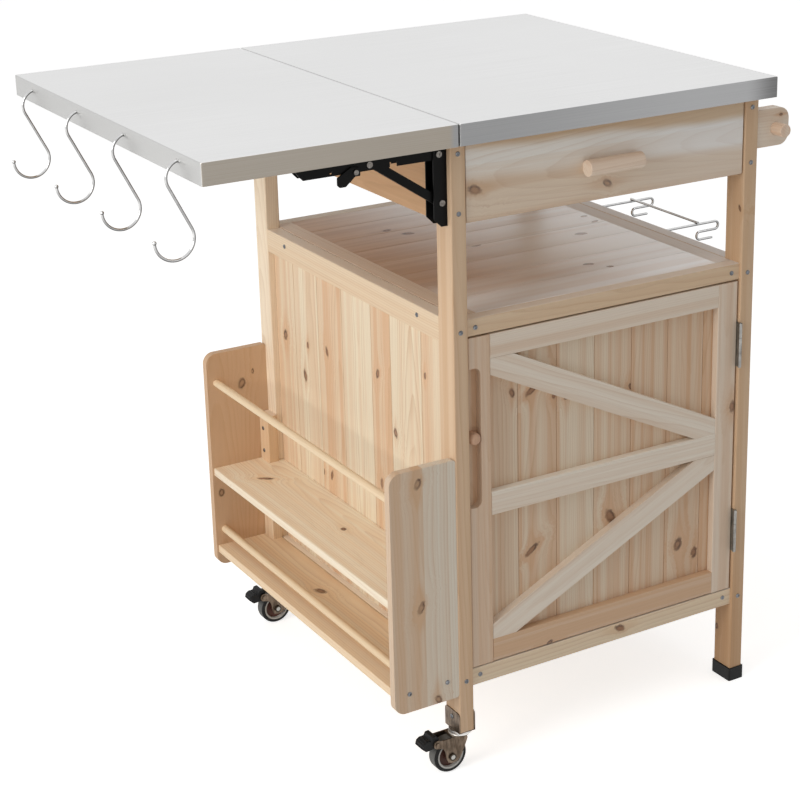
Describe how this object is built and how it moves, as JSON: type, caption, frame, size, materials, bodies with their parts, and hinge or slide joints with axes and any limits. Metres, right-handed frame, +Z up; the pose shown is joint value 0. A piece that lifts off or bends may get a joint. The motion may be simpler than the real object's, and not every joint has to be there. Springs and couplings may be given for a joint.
{
  "type": "grill cart",
  "caption": "Wooden grill cart with a steel top, folding side leaf, hooks, drawer, open shelf, braced-door cabinet, spice rack, towel bar, bag holder and casters.",
  "frame": {"origin": "bottom centre of the bounding box, on the floor with the leaf up", "axes": "+Z up, the drawer and door face -Y, the folding leaf and the rack are on the -X side"},
  "size_m": [0.9686, 0.611, 0.9],
  "materials": {
    "fir": "unvarnished, sanded",
    "fir_plank": "unvarnished, knotty",
    "fir_warm": "unvarnished, sanded",
    "fir_pale": "turned, sanded",
    "core_board": "raw board",
    "stainless": "fine brushed",
    "hook_steel": "polished wire",
    "zinc": "zinc plated",
    "black_steel": "satin powder coat",
    "black_plastic": "fine grain",
    "black_rubber": "satin",
    "hub_plastic": "satin"
  },
  "bodies": {
    "cart": {"legs": "fir", "foot_caps": "black_plastic", "aprons": "fir_warm", "drawer_runners": "fir", "front_rails": "fir", "side_rails": "fir", "back_rails": "fir", "left_planks": "fir_plank", "right_planks": "fir_plank", "back_planks": "fir_plank", "shelf_end_strips": "fir", "shelf_planks": "fir_plank", "floor_planks": "fir_plank", "top_sheet": "stainless", "top_core": "core_board", "bracket_wall_plates": "black_steel", "bracket_pins": "zinc", "hinge_leg_leaves": "zinc", "hinge_pins": "zinc", "door_catch": "black_plastic", "rack_ends": "fir", "rack_shelves": "fir_plank", "rack_dowels": "fir_pale", "rack_cleats": "fir_warm", "towel_arms": "fir", "towel_dowel": "fir_pale", "bag_holder": "hook_steel", "caster_brackets": "zinc", "screws": "zinc"},
    "leaf": {"leaf_sheet": "stainless", "leaf_core": "core_board", "bracket_arms": "black_steel", "arm_rivets": "zinc"},
    "strut_front": {"strut_front": "black_steel"},
    "strut_rear": {"strut_rear": "black_steel"},
    "lever_front": {"release_lever_front": "black_steel"},
    "lever_rear": {"release_lever_rear": "black_steel"},
    "hook_1": {"hook_1": "hook_steel"},
    "hook_2": {"hook_2": "hook_steel"},
    "hook_3": {"hook_3": "hook_steel"},
    "hook_4": {"hook_4": "hook_steel"},
    "drawer": {"drawer_front": "fir", "drawer_box": "fir", "drawer_bottom": "core_board", "drawer_handle": "fir_warm"},
    "door": {"door_stiles": "fir", "door_rails": "fir", "door_braces": "fir", "door_planks": "fir_plank", "door_knob": "fir_warm", "hinge_door_leaves": "zinc", "catch_plate": "zinc"},
    "swivel_front": {"caster_fork_front": "zinc"},
    "swivel_rear": {"caster_fork_rear": "zinc"},
    "wheel_front": {"caster_tyre_front": "black_rubber", "caster_hub_front": "hub_plastic"},
    "wheel_rear": {"caster_tyre_rear": "black_rubber", "caster_hub_rear": "hub_plastic"},
    "pedal_front": {"brake_pedal_front": "black_plastic"},
    "pedal_rear": {"brake_pedal_rear": "black_plastic"}
  },
  "joints": [
    {"name": "leaf_fold", "type": "hinge", "parent": "cart", "child": "leaf", "pos_m": [-0.1207, 0, 0.858], "axis": [0, -1, 0], "range_deg": [0, 85]},
    {"name": "strut_front_turn", "type": "hinge", "parent": "cart", "child": "strut_front", "pos_m": [-0.1172, -0.2635, 0.796], "axis": [0, -1, 0], "range_deg": [0, 114.5]},
    {"name": "lever_front_press", "type": "hinge", "parent": "leaf", "child": "lever_front", "pos_m": [-0.2357, -0.2731, 0.852], "axis": [0, 1, 0], "range_deg": [0, 12]},
    {"name": "strut_rear_turn", "type": "hinge", "parent": "cart", "child": "strut_rear", "pos_m": [-0.1172, 0.2635, 0.796], "axis": [0, -1, 0], "range_deg": [0, 114.5]},
    {"name": "lever_rear_press", "type": "hinge", "parent": "leaf", "child": "lever_rear", "pos_m": [-0.2357, 0.2731, 0.852], "axis": [0, 1, 0], "range_deg": [0, 12]},
    {"name": "hook_1_swing", "type": "hinge", "parent": "leaf", "child": "hook_1", "pos_m": [-0.4417, -0.238, 0.869], "axis": [0, -1, 0], "range_deg": [-85, 0]},
    {"name": "hook_2_swing", "type": "hinge", "parent": "leaf", "child": "hook_2", "pos_m": [-0.4417, -0.0775, 0.869], "axis": [0, -1, 0], "range_deg": [-85, 0]},
    {"name": "hook_3_swing", "type": "hinge", "parent": "leaf", "child": "hook_3", "pos_m": [-0.4417, 0.0775, 0.869], "axis": [0, -1, 0], "range_deg": [-85, 0]},
    {"name": "hook_4_swing", "type": "hinge", "parent": "leaf", "child": "hook_4", "pos_m": [-0.4417, 0.238, 0.869], "axis": [0, -1, 0], "range_deg": [-85, 0]},
    {"name": "drawer_slide", "type": "slide", "parent": "cart", "child": "drawer", "axis": [0, -1, 0], "range_m": [0, 0.3]},
    {"name": "door_hinge", "type": "hinge", "parent": "cart", "child": "door", "pos_m": [0.3513, -0.285, 0.382], "axis": [0, 0, 1], "range_deg": [0, 160]},
    {"name": "caster_front_swivel", "type": "hinge", "parent": "cart", "child": "swivel_front", "pos_m": [-0.0987, -0.2635, 0.054], "axis": [0, 0, 1], "continuous": true},
    {"name": "wheel_front_roll", "type": "hinge", "parent": "swivel_front", "child": "wheel_front", "pos_m": [-0.1197, -0.2635, 0.025], "axis": [0, 1, 0], "continuous": true},
    {"name": "brake_front_press", "type": "hinge", "parent": "swivel_front", "child": "pedal_front", "pos_m": [-0.1417, -0.2635, 0.0495], "axis": [0, -1, 0], "range_deg": [0, 10]},
    {"name": "caster_rear_swivel", "type": "hinge", "parent": "cart", "child": "swivel_rear", "pos_m": [-0.0987, 0.2635, 0.054], "axis": [0, 0, 1], "continuous": true},
    {"name": "wheel_rear_roll", "type": "hinge", "parent": "swivel_rear", "child": "wheel_rear", "pos_m": [-0.1197, 0.2635, 0.025], "axis": [0, 1, 0], "continuous": true},
    {"name": "brake_rear_press", "type": "hinge", "parent": "swivel_rear", "child": "pedal_rear", "pos_m": [-0.1417, 0.2635, 0.0495], "axis": [0, -1, 0], "range_deg": [0, 10]}
  ],
  "couplings": [
    {"joint": "strut_front_turn", "follows": "leaf_fold", "ratio": 1.344},
    {"joint": "strut_rear_turn", "follows": "leaf_fold", "ratio": 1.344},
    {"joint": "hook_1_swing", "follows": "leaf_fold", "ratio": -1},
    {"joint": "hook_2_swing", "follows": "leaf_fold", "ratio": -1},
    {"joint": "hook_3_swing", "follows": "leaf_fold", "ratio": -1},
    {"joint": "hook_4_swing", "follows": "leaf_fold", "ratio": -1}
  ]
}
